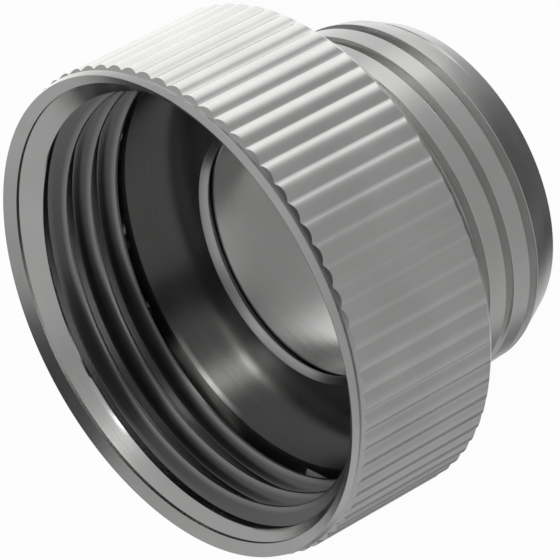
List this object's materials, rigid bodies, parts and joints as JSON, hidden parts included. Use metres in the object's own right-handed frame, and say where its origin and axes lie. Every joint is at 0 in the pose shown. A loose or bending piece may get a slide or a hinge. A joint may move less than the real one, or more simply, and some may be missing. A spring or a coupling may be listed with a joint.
{
  "type": "reducing socket",
  "caption": "Knurled reducing socket: a collar with a female pipe thread and gasket shoulder, stepping down to a smaller male threaded spigot with a through bore.",
  "frame": {"origin": "centre of the spigot's end face, which the fitting stands on", "axes": "+Z along the turned axis, from the spigot towards the open mouth of the collar"},
  "size_m": [0.029, 0.029, 0.0196],
  "materials": {
    "plated_metal": "satin nickel plating over turned brass"
  },
  "bodies": {
    "root": {"reducing_socket": "plated_metal"}
  },
  "joints": []
}
